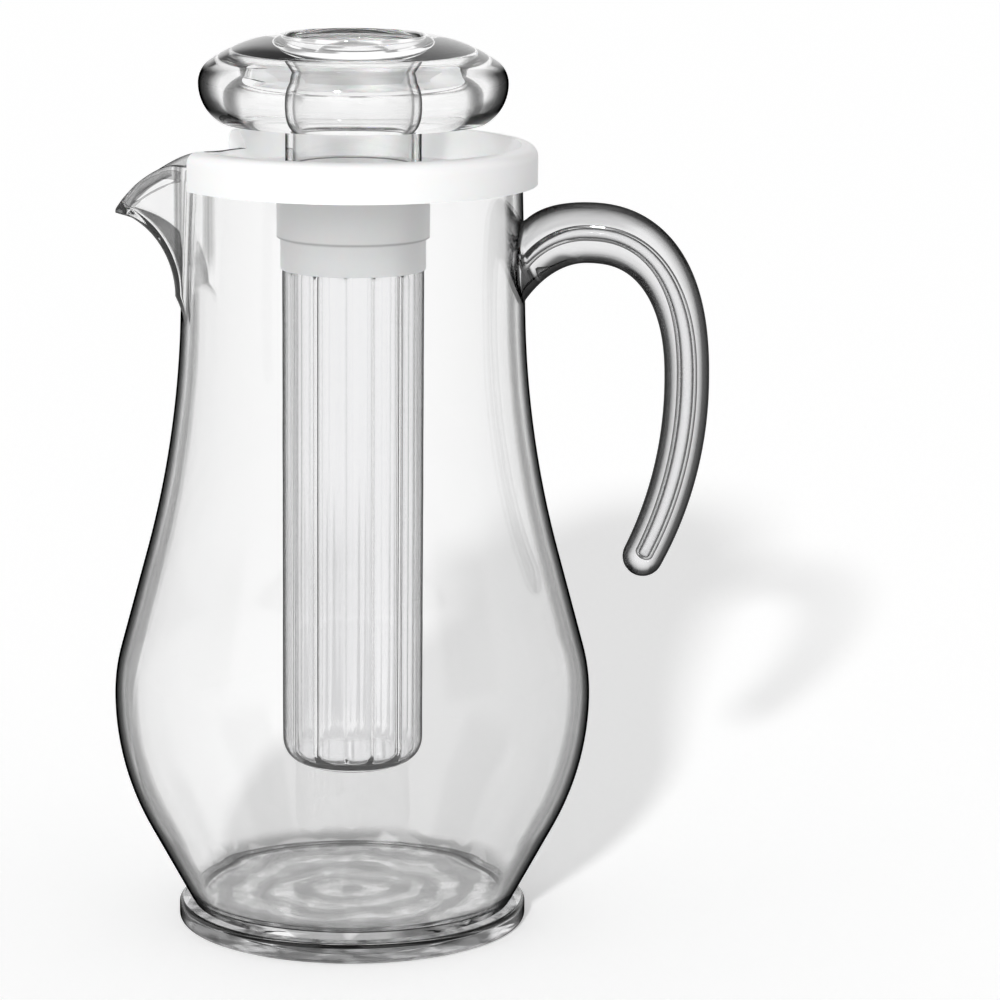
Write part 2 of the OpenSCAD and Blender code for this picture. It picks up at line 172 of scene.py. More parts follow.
# %% The group for upright walls
uprights = bpy.data.node_groups.new("upright_walls", "ShaderNodeTree")
free = uprights.interface.new_socket("Free Height", in_out="INPUT", socket_type="NodeSocketFloat")
free.default_value = 1.0
uprights.interface.new_socket("Share", in_out="OUTPUT", socket_type="NodeSocketFloat")
height_in = node(uprights, "NodeGroupInput")
facing_out = node(uprights, "NodeGroupOutput")
at = node(uprights, "ShaderNodeSeparateXYZ")
above = node(uprights, "ShaderNodeMath", operation="GREATER_THAN")
either = node(uprights, "ShaderNodeMath", operation="MAXIMUM")
own_side = node(uprights, "ShaderNodeTexCoord")
split = node(uprights, "ShaderNodeSeparateXYZ")
level = node(uprights, "ShaderNodeMath", operation="ABSOLUTE")
fade = node(uprights, "ShaderNodeMapRange", interpolation_type="SMOOTHSTEP")
fade.inputs["From Min"].default_value = 0.85
fade.inputs["From Max"].default_value = 0.5
uprights.links.new(own_side.outputs["Normal"], split.inputs[0])
uprights.links.new(split.outputs["Z"], level.inputs[0])
uprights.links.new(level.outputs[0], fade.inputs["Value"])
uprights.links.new(own_side.outputs["Object"], at.inputs[0])
uprights.links.new(at.outputs["Z"], above.inputs[0])
uprights.links.new(height_in.outputs["Free Height"], above.inputs[1])
uprights.links.new(fade.outputs["Result"], either.inputs[0])
uprights.links.new(above.outputs[0], either.inputs[1])
uprights.links.new(either.outputs[0], facing_out.inputs["Share"])
print("group", uprights.name, "is ready")

# %% [markdown]
# ## Clear plastic
#
# Clear plastic is seen by its edges: where the wall is looked along, light runs a long way through it
# and little comes back, so the outline turns dark. Refraction alone shows that only where something
# dark stands beside the object. Layer Weight adds it from any side, in two ways. The tint dims the
# light that goes through. A coat with no gloss of its own, laid on towards the edge, dims what the
# surface mirrors as well. Each surface takes the square root of the tint, so two surfaces take the
# whole of it.


# %% The clear finish
IOR_CLEAR = 1.49
FILM = 0.15


def clear_plastic(name, tint, edge_shares, film_shares, depth, free_height=1.0):
    made, tree, shader = new_material(name)
    shader.inputs["Transmission Weight"].default_value = 1.0
    shader.inputs["IOR"].default_value = IOR_CLEAR
    shader.inputs["Coat IOR"].default_value = 1.0
    shader.inputs["Coat Tint"].default_value = (FILM, FILM, FILM, 1)
    facing = node(tree, "ShaderNodeLayerWeight")
    facing.inputs["Blend"].default_value = 0.5
    upright = node(tree, "ShaderNodeGroup", node_tree=uprights)
    upright.inputs["Free Height"].default_value = free_height
    shade = node(tree, "ShaderNodeMix", data_type="RGBA")
    shade.inputs[6].default_value = (*tint, 1)
    dim = node(tree, "ShaderNodeMix", data_type="RGBA", blend_type="MULTIPLY")
    dim.inputs[0].default_value = 1.0
    dim.inputs[6].default_value = (*tint, 1)
    tree.links.new(share_ramp(tree, facing.outputs["Facing"], edge_shares), dim.inputs[7])
    tree.links.new(upright.outputs["Share"], shade.inputs[0])
    tree.links.new(dim.outputs[2], shade.inputs[7])
    tree.links.new(shade.outputs[2], shader.inputs["Base Color"])
    film = node(tree, "ShaderNodeMath", operation="MULTIPLY")
    tree.links.new(share_ramp(tree, facing.outputs["Facing"], film_shares), film.inputs[0])
    tree.links.new(upright.outputs["Share"], film.inputs[1])
    tree.links.new(film.outputs[0], shader.inputs["Coat Weight"])
    add_skin(tree, shader, 28.0, 0.0, 0.02, depth)
    return made, tree, shade


# %% The six clear finishes
THIN_WALL = [(0.0, 1.0), (0.12, 0.985), (0.35, 0.93), (0.55, 0.86), (0.66, 0.74), (0.75, 0.3), (0.83, 0.03)]
THICK_BAR = [(0.0, 0.98), (0.08, 0.9), (0.15, 0.65), (0.24, 0.25), (0.34, 0.03), (0.55, 0.04), (0.85, 0.12)]
THICK_RING = [(0.0, 1.0), (0.3, 0.97), (0.48, 0.85), (0.6, 0.25), (0.72, 0.04)]
FLUTED = [(0.0, 1.0), (0.2, 0.96), (0.45, 0.82), (0.68, 0.5), (0.85, 0.1)]
LATE_FILM = [(0.66, 0.0), (0.78, 0.8), (0.88, 1.0)]
EARLY_FILM = [(0.25, 0.0), (0.4, 0.5), (0.65, 0.9)]
RING_FILM = [(0.5, 0.0), (0.66, 0.8), (0.85, 1.0)]
CLEAR = (0.985, 0.985, 0.985)
SPOUT_UP = 0.15
FOOT_TINT = (0.93, 0.93, 0.935)
body_clear, body_tree, body_shade = clear_plastic("clear_body", CLEAR, THIN_WALL, LATE_FILM,
                                                  0.0001, SPOUT_UP)
foot_clear, foot_tree, foot_shade = clear_plastic("clear_foot", FOOT_TINT, THIN_WALL, LATE_FILM, 0.0002)
handle_clear = clear_plastic("clear_handle", (0.9, 0.9, 0.905), THICK_BAR, EARLY_FILM, 0.0001, 0.0)[0]
core_clear = clear_plastic("clear_core", (0.98, 0.98, 0.985), FLUTED, LATE_FILM, 0.00005)[0]
knob_clear, knob_tree = clear_plastic("clear_knob", CLEAR, THICK_RING, RING_FILM, 0.0001)[:2]
cup_clear, cup_tree = clear_plastic("clear_cup", CLEAR, THIN_WALL, LATE_FILM, 0.00005)[:2]
finishes = (body_clear, foot_clear, handle_clear, core_clear, knob_clear, cup_clear)
print("clear finishes:", [m.name for m in finishes])

# %% [markdown]
# ## Light through the knob
#
# Light from the lamps shines through the clear knob into the lid's recess. A ray tracer treats clear
# plastic as a solid stop for lamps, unless a Transparent shader stands in for the rays that look for a
# lamp. The knob and its cup get one. The body keeps its full shadow, which the picture shows on the
# floor.

# %% Let the lamps through
LAMP_SHARE = 0.7
for tree in (knob_tree, cup_tree):
    path = node(tree, "ShaderNodeLightPath")
    open_to_lamps = node(tree, "ShaderNodeBsdfTransparent")
    open_to_lamps.inputs["Color"].default_value = (LAMP_SHARE, LAMP_SHARE, LAMP_SHARE, 1)
    either = node(tree, "ShaderNodeMixShader")
    tree.links.new(path.outputs["Is Shadow Ray"], either.inputs["Fac"])
    tree.links.new(tree.nodes["Principled BSDF"].outputs[0], either.inputs[1])
    tree.links.new(open_to_lamps.outputs[0], either.inputs[2])
    tree.links.new(either.outputs[0], tree.nodes["Material Output"].inputs["Surface"])
print("each wall of the knob lets", LAMP_SHARE, "of the lamps' light through")

# %% [markdown]
# ## Painted light and shade on the body's floor
#
# Seen through the drink's space, the floor of the body shows uneven rings of light and dark. They are
# read as light bent by gentle ripples left by the moulding. The ripples aren't modelled: rings of the
# Wave Texture, bent by noise, paint that light and shade into the tint there, and only there: a mask
# takes them away above the floor.

# %% Painted ripple shade on the body's floor
RIPPLE_LOW, RIPPLE_HIGH = 0.0105, 0.0145
at_body = node(body_tree, "ShaderNodeTexCoord")
rings = node(body_tree, "ShaderNodeTexWave", wave_type="RINGS", rings_direction="Z")
rings.inputs["Scale"].default_value = 24.0
rings.inputs["Distortion"].default_value = 6.0
rings.inputs["Detail"].default_value = 2.5
rings.inputs["Detail Scale"].default_value = 1.6
rings.inputs["Detail Roughness"].default_value = 0.55
ripple_shade = node(body_tree, "ShaderNodeMapRange", interpolation_type="SMOOTHSTEP")
ripple_shade.inputs["From Min"].default_value = 0.3
ripple_shade.inputs["From Max"].default_value = 0.6
ripple_shade.inputs["To Min"].default_value = 0.45
parts = node(body_tree, "ShaderNodeSeparateXYZ")
low_down = node(body_tree, "ShaderNodeMapRange", interpolation_type="SMOOTHSTEP")
low_down.inputs["From Min"].default_value = RIPPLE_HIGH
low_down.inputs["From Max"].default_value = RIPPLE_LOW
# Painted light and shade: the rings dim the tint of the body's floor, below the mask's height.
ripple_shaded = node(body_tree, "ShaderNodeMix", data_type="RGBA", blend_type="MULTIPLY")
body_tree.links.new(at_body.outputs["Object"], rings.inputs["Vector"])
body_tree.links.new(rings.outputs["Fac"], ripple_shade.inputs["Value"])
body_tree.links.new(at_body.outputs["Object"], parts.inputs[0])
body_tree.links.new(parts.outputs["Z"], low_down.inputs["Value"])
body_tree.links.new(low_down.outputs["Result"], ripple_shaded.inputs[0])
body_tree.links.new(body_shade.outputs[2], ripple_shaded.inputs[6])
body_tree.links.new(ripple_shade.outputs["Result"], ripple_shaded.inputs[7])
print("ripples end at", RIPPLE_HIGH / MM, "mm above the table")

# %% [markdown]
# ## Painted shade along the spout's rim
#
# The picture shows a grey band with darker edges along the rim of the spout. It is read as the shade
# of a rim thicker than the walls, and that grey is painted shade in the tint. From the side the rim is
# an arc of a circle, so the distance from the middle of that circle finds the band from every side.

# %% The painted shade band along the spout's rim
LIP_X, LIP_Z, LIP_R, RIM_BAND = 38.0, 202.1, 45.1, 3.4
SPOUT_FROM, SPOUT_ABOVE = -0.054, 0.2
to_arc = node(body_tree, "ShaderNodeVectorMath", operation="SUBTRACT")
to_arc.inputs[1].default_value = (-LIP_X * MM, 0, LIP_Z * MM)
from_side = node(body_tree, "ShaderNodeVectorMath", operation="MULTIPLY")
from_side.inputs[1].default_value = (1, 0, 1)
distance = node(body_tree, "ShaderNodeVectorMath", operation="LENGTH")
band = node(body_tree, "ShaderNodeMapRange")
band.inputs["From Min"].default_value = (LIP_R - RIM_BAND) * MM
band.inputs["From Max"].default_value = LIP_R * MM
RIM_SHADE_SHARES = [(0.0, 1.0), (0.08, 0.2), (0.3, 0.6), (0.7, 0.6), (0.95, 0.2)]
on_spout = node(body_tree, "ShaderNodeMath", operation="LESS_THAN")
on_spout.inputs[1].default_value = SPOUT_FROM
up_there = node(body_tree, "ShaderNodeMath", operation="GREATER_THAN")
up_there.inputs[1].default_value = SPOUT_ABOVE
both = node(body_tree, "ShaderNodeMath", operation="MULTIPLY")
# Painted shade: the band darkens the tint along the spout's rim.
rim_shaded = node(body_tree, "ShaderNodeMix", data_type="RGBA", blend_type="MULTIPLY")
body_tree.links.new(at_body.outputs["Object"], to_arc.inputs[0])
body_tree.links.new(to_arc.outputs[0], from_side.inputs[0])
body_tree.links.new(from_side.outputs[0], distance.inputs[0])
body_tree.links.new(distance.outputs["Value"], band.inputs["Value"])
body_tree.links.new(parts.outputs["X"], on_spout.inputs[0])
body_tree.links.new(parts.outputs["Z"], up_there.inputs[0])
body_tree.links.new(on_spout.outputs[0], both.inputs[0])
body_tree.links.new(up_there.outputs[0], both.inputs[1])
body_tree.links.new(both.outputs[0], rim_shaded.inputs[0])
body_tree.links.new(ripple_shaded.outputs[2], rim_shaded.inputs[6])
body_tree.links.new(share_ramp(body_tree, band.outputs["Result"], RIM_SHADE_SHARES), rim_shaded.inputs[7])
print("rim band", RIM_BAND, "mm deep")

# %% [markdown]
# ## Painted shade in the corner between spout and neck
#
# Where the spout's walls leave the neck, the picture shows upright bands of grey. They are read as the shade
# of plastic that is thick in the corner, and are painted into the tint as shade. The corner is the same on
# both sides, so its place along X finds both bands.

# %% The painted shade band in the corner
CORNER_OUT, CORNER_IN = -0.0535, -0.0498
CORNER_LOW, CORNER_TOP = 0.203, 0.213
CORNER_SHADE_SHARES = [(0.0, 1.0), (0.15, 0.5), (0.35, 0.35), (0.5, 0.7), (0.65, 0.35), (0.85, 0.6), (1.0, 1.0)]
corner = node(body_tree, "ShaderNodeMapRange")
corner.inputs["From Min"].default_value = CORNER_OUT
corner.inputs["From Max"].default_value = CORNER_IN
tall = node(body_tree, "ShaderNodeMapRange", interpolation_type="SMOOTHSTEP")
tall.inputs["From Min"].default_value = CORNER_LOW
tall.inputs["From Max"].default_value = CORNER_TOP
# Painted shade: upright grey bands dim the tint where the spout's walls leave the neck.
corner_shaded = node(body_tree, "ShaderNodeMix", data_type="RGBA", blend_type="MULTIPLY")
body_tree.links.new(parts.outputs["X"], corner.inputs["Value"])
body_tree.links.new(parts.outputs["Z"], tall.inputs["Value"])
body_tree.links.new(tall.outputs["Result"], corner_shaded.inputs[0])
body_tree.links.new(rim_shaded.outputs[2], corner_shaded.inputs[6])
body_tree.links.new(share_ramp(body_tree, corner.outputs["Result"], CORNER_SHADE_SHARES), corner_shaded.inputs[7])
body_tree.links.new(corner_shaded.outputs[2], body_tree.nodes["Principled BSDF"].inputs["Base Color"])
print("the corner's band is", round((CORNER_IN - CORNER_OUT) / MM, 1), "mm wide")

# %% [markdown]
# ## Streaks round the foot
#
# Irregular streaks of light and dark run round the foot. They are read as light that its thick edge bends
# unevenly. Noise that is squeezed upright gives such streaks. They dim the tint of the foot.

# %% Streaks on the foot
place_on = node(foot_tree, "ShaderNodeTexCoord")
squeeze = node(foot_tree, "ShaderNodeMapping")
squeeze.inputs["Scale"].default_value = (1.0, 1.0, 4.0)
streaks = node(foot_tree, "ShaderNodeTexNoise")
streaks.inputs["Scale"].default_value = 85.0
streaks.inputs["Detail"].default_value = 3.0
streaks.inputs["Distortion"].default_value = 0.6
sharpen = node(foot_tree, "ShaderNodeMapRange", interpolation_type="SMOOTHSTEP")
sharpen.inputs["From Min"].default_value = 0.42
sharpen.inputs["From Max"].default_value = 0.58
sharpen.inputs["To Min"].default_value = 0.25
streaky = node(foot_tree, "ShaderNodeMix", data_type="RGBA", blend_type="MULTIPLY")
streaky.inputs[0].default_value = 1.0
foot_tree.links.new(place_on.outputs["Object"], squeeze.inputs["Vector"])
foot_tree.links.new(squeeze.outputs[0], streaks.inputs["Vector"])
foot_tree.links.new(streaks.outputs["Fac"], sharpen.inputs["Value"])
foot_tree.links.new(foot_shade.outputs[2], streaky.inputs[6])
foot_tree.links.new(sharpen.outputs["Result"], streaky.inputs[7])
foot_tree.links.new(streaky.outputs[2], foot_tree.nodes["Principled BSDF"].inputs["Base Color"])
print("streaks dim the foot to", sharpen.inputs["To Min"].default_value)

# %% [markdown]
# ## White plastic
#
# The lid, its socket and the collar are one opaque white resin with a satin surface. A little light
# enters the resin and comes out again, which softens its shadows, so it gets a trace of subsurface
# scatter. Its white is slightly cloudy, and a narrow line of painted shade darkens the seam between socket
# and collar.

# %% The height of the seam
SEAM_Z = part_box("lid")[0].z
SEAM_SHADE_HALF = 0.0008
print("the seam lies at", round(SEAM_Z / MM, 1), "mm")


# %% The white finish
def white_plastic(name, colour):
    made, tree, shader = new_material(name)
    where = node(tree, "ShaderNodeTexCoord")
    cloud = node(tree, "ShaderNodeTexNoise")
    cloud.inputs["Scale"].default_value = 25.0
    cloudy = node(tree, "ShaderNodeMix", data_type="RGBA")
    cloudy.inputs[6].default_value = (*[c * 0.96 for c in colour], 1)
    cloudy.inputs[7].default_value = (*colour, 1)
    parts = node(tree, "ShaderNodeSeparateXYZ")
    off_seam = node(tree, "ShaderNodeMath", operation="SUBTRACT")
    off_seam.inputs[1].default_value = SEAM_Z
    far = node(tree, "ShaderNodeMath", operation="ABSOLUTE")
    # Painted shade: the white darkens to 0.55 in a narrow line at the seam between socket and collar.
    seam_shade = node(tree, "ShaderNodeMapRange", interpolation_type="SMOOTHSTEP")
    seam_shade.inputs["From Max"].default_value = SEAM_SHADE_HALF
    seam_shade.inputs["To Min"].default_value = 0.55
    shaded = node(tree, "ShaderNodeMix", data_type="RGBA", blend_type="MULTIPLY")
    shaded.inputs[0].default_value = 1.0
    tree.links.new(where.outputs["Object"], cloud.inputs["Vector"])
    tree.links.new(cloud.outputs["Fac"], cloudy.inputs[0])
    tree.links.new(where.outputs["Object"], parts.inputs[0])
    tree.links.new(parts.outputs["Z"], off_seam.inputs[0])
    tree.links.new(off_seam.outputs[0], far.inputs[0])
    tree.links.new(far.outputs[0], seam_shade.inputs["Value"])
    tree.links.new(cloudy.outputs[2], shaded.inputs[6])
    tree.links.new(seam_shade.outputs["Result"], shaded.inputs[7])
    tree.links.new(shaded.outputs[2], shader.inputs["Base Color"])
    shader.inputs["Subsurface Weight"].default_value = 0.08
    shader.inputs["Subsurface Scale"].default_value = 0.003
    add_skin(tree, shader, 60.0, 0.28, 0.1, 0.00005)
    return made


lid_white = white_plastic("white_lid", (0.93, 0.93, 0.93))
collar_white = white_plastic("white_collar", (0.92, 0.92, 0.92))

# %% [markdown]
# ## Pieces from rows of points
#
# Clear plastic shows every flat facet, because each one bends the light its own way. So each clear
# piece is built again as a fine grid, from the same sizes as the CAD piece that it stands for. A grid
# is a list of rows. Neighbouring rows are joined by four-sided faces, and a row can close on itself
# like a hoop. Weighted normals let the large faces decide the shading, so a small rounding stays crisp.

# %% Make a piece from rows
def piece_from_rows(name, rows, body, stands_for, finish, ends=(True, True)):
    count = len(rows[0])
    points = np.concatenate([np.asarray(r, float) for r in rows]) * MM
    faces = []
    for j in range(len(rows) - 1):
        for i in range(count):
            k = (i + 1) % count
            faces.append((j * count + i, j * count + k, (j + 1) * count + k, (j + 1) * count + i))
    first, last = rows[0], rows[-1]
    if ends[0]:
        points = np.vstack([points, np.mean(first, axis=0) * MM])
        hub = len(points) - 1
        faces += [(hub, (i + 1) % count, i) for i in range(count)]
    if ends[1]:
        points = np.vstack([points, np.mean(last, axis=0) * MM])
        hub, start = len(points) - 1, (len(rows) - 1) * count
        faces += [(hub, start + i, start + (i + 1) % count) for i in range(count)]
    mesh = bpy.data.meshes.new(name)
    mesh.from_pydata(points.tolist(), [], faces)
    shape = bmesh.new()
    shape.from_mesh(mesh)
    bmesh.ops.recalc_face_normals(shape, faces=shape.faces)
    shape.to_mesh(mesh)
    shape.free()
    mesh.shade_smooth()
    mesh.materials.append(finish)
    made = bpy.data.objects.new(name, mesh)
    made.modifiers.new("large_faces_lead", "WEIGHTED_NORMAL")
    scene.collection.objects.link(made)
    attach(made, body)
    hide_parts(*stands_for)
    print(name, "has", len(mesh.polygons), "faces")


# %% Turn an outline into rows
AROUND = 192


def rounded(corners, steps=6):
    """Each corner is (r, z, rounding). A rounding becomes a short run of points."""
    out = []
    for i, (x, z, fillet) in enumerate(corners):
        here = np.array([x, z], float)
        if fillet == 0 or i in (0, len(corners) - 1):
            out.append(here)
            continue
        before = np.array(corners[i - 1][:2], float) - here
        after = np.array(corners[i + 1][:2], float) - here
        lb, la = np.linalg.norm(before), np.linalg.norm(after)
        before, after = before / lb, after / la
        half = math.acos(np.clip(before @ after, -1, 1)) / 2
        cut = min(fillet / math.tan(half), lb * 0.49, la * 0.49)
        radius = cut * math.tan(half)
        halfway = (before + after) / np.linalg.norm(before + after)
        middle = here + halfway * radius / math.sin(half)
        start, stop = here + before * cut - middle, here + after * cut - middle
        sweep = math.pi - 2 * half
        for k in range(steps + 1):
            t = k / steps
            swung = start * math.sin((1 - t) * sweep) + stop * math.sin(t * sweep)
            out.append(middle + swung / math.sin(sweep))
    return out


def turned(outline, around=AROUND):
    angles = np.arange(around) * 2 * math.pi / around
    return [np.stack([r * np.cos(angles), r * np.sin(angles), np.full(around, z)], -1) for r, z in outline]


# %% [markdown]
# ## The body
#
# The body is one moulding: belly, neck and spout flow into each other. For each height and each direction
# one rule gives the distance of the wall from the axis: the larger of the round body and the spout's wedge.
# The two are blended softly, because plastic never leaves a mould with a knife edge.
# The same rule with the wall taken off gives the inside.

# %% The round outline of the body
WALL, FLOOR_T = 3.0, 3.0
FOOT_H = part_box("foot")[1].z / MM
BELLY_R, BELLY_Z, LOW_ARC_R, HIGH_ARC_R = 75.8, 74.3, 87.6, 56.3
LOW_LEAN, HIGH_LEAN, NECK_LEAN = math.radians(28.3), math.radians(15.2), math.radians(1.6)
NECK_ARC_R, NECK_R, RIM_Z = 320.0, 52.9, 244.3
low_x = BELLY_R - LOW_ARC_R * (1 - math.cos(LOW_LEAN))
low_z = BELLY_Z - LOW_ARC_R * math.sin(LOW_LEAN)
high_x = BELLY_R - HIGH_ARC_R * (1 - math.cos(HIGH_LEAN))
high_z = BELLY_Z + HIGH_ARC_R * math.sin(HIGH_LEAN)
shoulder_d = high_x * math.cos(HIGH_LEAN) + high_z * math.sin(HIGH_LEAN) + NECK_ARC_R
neck_d = NECK_R * math.cos(NECK_LEAN) + RIM_Z * math.sin(NECK_LEAN) + NECK_ARC_R
turn_d = math.sin(HIGH_LEAN - NECK_LEAN)
hollow_x = (neck_d * math.sin(HIGH_LEAN) - shoulder_d * math.sin(NECK_LEAN)) / turn_d
hollow_z = (shoulder_d * math.cos(NECK_LEAN) - neck_d * math.cos(HIGH_LEAN)) / turn_d


def round_wall(z, t):
    lx, lz = low_x - t * math.cos(LOW_LEAN), low_z + t * math.sin(LOW_LEAN)
    hx, hz = high_x - t * math.cos(HIGH_LEAN), high_z - t * math.sin(HIGH_LEAN)
    shoulder_end = hollow_z - (NECK_ARC_R + t) * math.sin(HIGH_LEAN)
    neck_start = hollow_z - (NECK_ARC_R + t) * math.sin(NECK_LEAN)
    if z < lz:
        return lx - (lz - z) * math.tan(LOW_LEAN)
    if z < BELLY_Z:
        return BELLY_R - LOW_ARC_R + math.sqrt((LOW_ARC_R - t) ** 2 - (z - BELLY_Z) ** 2)
    if z < hz:
        return BELLY_R - HIGH_ARC_R + math.sqrt((HIGH_ARC_R - t) ** 2 - (z - BELLY_Z) ** 2)
    if z < shoulder_end:
        return hx - (z - hz) * math.tan(HIGH_LEAN)
    if z < neck_start:
        return hollow_x - math.sqrt((NECK_ARC_R + t) ** 2 - (z - hollow_z) ** 2)
    return hollow_x - (NECK_ARC_R + t) * math.cos(NECK_LEAN) - (z - neck_start) * math.tan(NECK_LEAN)


print("belly radius", round(round_wall(BELLY_Z, 0), 1), "neck radius", round(round_wall(RIM_Z, 0), 1))

# %% The spout's wedge
SPOUT_WALL, SPOUT_ANGLE, NOSE_X, NOSE_R = 2.6, math.radians(25), 72.0, 3.4
KEEL_X, KEEL_Z, KEEL_R, KEEL_FADE, KEEL_SOFT, KEEL_BELOW = 77.5, 203.0, 24.0, 0.6, 1.2, 8.0
WEDGE_END, FAR_OUT = math.radians(60), 200.0
wedge_side, wedge_back = NECK_R * math.sin(SPOUT_ANGLE), NECK_R * math.cos(SPOUT_ANGLE)
wedge_run = NOSE_X - wedge_back
WEDGE_LEAN = math.atan2(wedge_side, wedge_run) - math.asin(NOSE_R / math.hypot(wedge_run, wedge_side))


def soft_max(a, b, soft):
    near = np.maximum(soft - np.abs(a - b), 0) / soft
    return np.maximum(a, b) + near * near * soft / 4


def soft_min(a, b, soft):
    return -soft_max(-a, -b, soft)


def spout_wall(off, z, t):
    """Distance of the spout's wall from the axis, for directions off the spout's own, at height z."""
    off = np.abs(off)
    slant = np.sin(np.clip(WEDGE_LEAN + off, 0.05, math.pi / 2))
    line = (NOSE_X * math.sin(WEDGE_LEAN) + NOSE_R - t) / slant
    tip = NOSE_R - t
    inside = np.maximum(tip ** 2 - (NOSE_X * np.sin(off)) ** 2, 0)
    nose = NOSE_X * np.cos(off) + np.sqrt(inside)
    touch = math.atan2(tip * math.cos(WEDGE_LEAN), NOSE_X + tip * math.sin(WEDGE_LEAN))
    reach = np.where(off < touch, nose, line)
    rise = (KEEL_R + t) ** 2 - (z - KEEL_Z) ** 2
    keel = KEEL_X - np.sqrt(np.maximum(rise, 0))
    below = KEEL_X - KEEL_R - t - (KEEL_Z - z) * KEEL_FADE
    keel = np.where(z < KEEL_Z, below, np.where(rise > 0, keel, FAR_OUT))
    reach = soft_min(reach, keel / np.cos(np.clip(off, 0, 1.2)), KEEL_SOFT)
    return np.where(off > WEDGE_END, 0, reach)


def wall_at(angle, z, t, t_spout, soft):
    off = np.abs(angle - math.pi)
    base = np.array([round_wall(h, t) for h in np.broadcast_to(z, angle.shape)])
    return np.where(z < KEEL_Z - KEEL_BELOW, base, soft_max(base, spout_wall(off, z, t_spout), soft))


# %% Build the body
SPOUT_ZONE = math.radians(32)
SOFT_OUT, SOFT_IN = 1.6, 1.2
fine = np.linspace(math.pi - SPOUT_ZONE, math.pi + SPOUT_ZONE, 200)
coarse = np.linspace(math.pi + SPOUT_ZONE, 3 * math.pi - SPOUT_ZONE, 202)[1:-1] % (2 * math.pi)
angles = np.concatenate([fine, coarse])
BAND_Z = 198.0
RIM_ROUND = WALL / 2
LID_LOW_Z, RIM_SOFT, SPOUT_START, INNER_RISE, SPOUT_RUN = 238.0, 1.0, 0.4, 3.0, 6.0
LOW_ROWS, BAND_ROWS, INSIDE_ROWS = 110, 70, 105
FLOOR_ROUND, FLOOR_ABOVE = 5.0, 9.0
HUB_R = 0.5


def rim_height(angle, t, t_spout, soft):
    reach = wall_at(angle, np.full(angle.shape, LID_LOW_Z), t, t_spout, soft)
    x = -reach * np.cos(angle)
    arc = LIP_Z + np.sqrt(np.maximum(LIP_R ** 2 - (x - LIP_X) ** 2, 0))
    base = np.array([round_wall(LID_LOW_Z, t)] * len(angle))
    lip = soft_min(arc, np.full(angle.shape, RIM_Z), RIM_SOFT)
    return np.where(reach > base + SPOUT_START, lip, RIM_Z) - RIM_ROUND


def ring_row(z, t, t_spout, soft, bead=None):
    z = np.broadcast_to(np.asarray(z, float), angles.shape)
    r = wall_at(angles, z, t, t_spout, soft)
    if bead is not None:
        r = np.minimum(r + bead, np.maximum(r, BELLY_R - 0.2))
    return np.stack([r * np.cos(angles), r * np.sin(angles), z], -1)


outer_top = rim_height(angles, 0, 0, SOFT_OUT)
inner_top = np.minimum(rim_height(angles, WALL, SPOUT_WALL, SOFT_IN), outer_top + INNER_RISE)
wall_there = wall_at(angles, np.full(angles.shape, LID_LOW_Z), 0, 0, SOFT_OUT)
in_spout = np.clip((wall_there - round_wall(LID_LOW_Z, 0)) / SPOUT_RUN, 0, 1)
BEAD, BEAD_TALL = 1.4, 3.2
rows = []
base_r = round_wall(FOOT_H, 0)
heel = [(HUB_R, FOOT_H, 0), (base_r - 0.2, FOOT_H, 0.5), (round_wall(FOOT_H + 2, 0), FOOT_H + 2, 0)]
for r, z in rounded(heel):
    rows.append(np.stack([r * np.cos(angles), r * np.sin(angles), np.full(angles.shape, z)], -1))
for z in np.linspace(FOOT_H + 2.5, BAND_Z, LOW_ROWS):
    rows.append(ring_row(z, 0, 0, SOFT_OUT))
for share in np.linspace(0, 1, BAND_ROWS)[1:]:
    z = BAND_Z + (outer_top - BAND_Z) * share
    swell = np.sqrt(np.clip(1 - ((outer_top - z) / BEAD_TALL - 0.2) ** 2, 0, 1))
    rows.append(ring_row(z, 0, 0, SOFT_OUT, BEAD * in_spout * swell * np.clip(share * 3 - 1, 0, 1)))
top_out = rows[-1]
top_in = ring_row(inner_top, WALL, SPOUT_WALL, SOFT_IN)
middle, half = (top_out + top_in) / 2, (top_out - top_in) / 2
lift = np.zeros(top_out.shape)
lift[:, 2] = RIM_ROUND
for k in range(1, 9):
    a = math.pi * k / 9
    rows.append(middle + half * math.cos(a) + lift * math.sin(a))
for share in np.linspace(1, 0, BAND_ROWS):
    rows.append(ring_row(BAND_Z + (inner_top - BAND_Z) * share, WALL, SPOUT_WALL, SOFT_IN))
floor_z = FOOT_H + FLOOR_T
floor_end = floor_z + FLOOR_ABOVE
for z in np.linspace(BAND_Z, floor_end, INSIDE_ROWS)[1:]:
    rows.append(ring_row(z, WALL, SPOUT_WALL, SOFT_IN))
low_r, mid_r = round_wall(floor_end, WALL), round_wall(floor_z, WALL)
for r, z in rounded([(low_r, floor_end, 0), (mid_r, floor_z, FLOOR_ROUND), (HUB_R, floor_z, 0)], 10)[1:]:
    rows.append(np.stack([r * np.cos(angles), r * np.sin(angles), np.full(angles.shape, z)], -1))
piece_from_rows("body_moulding", rows, "pitcher", ["pitcher_body"], body_clear)

# %% [markdown]
# ## The foot
#
# The foot is a thick disc with a rounded edge. It could be moulded by itself and bonded on, or be one with
# the body. The picture doesn't show its underside. The shallow recess there, which lets the pitcher stand on
# a ring, is a guess.

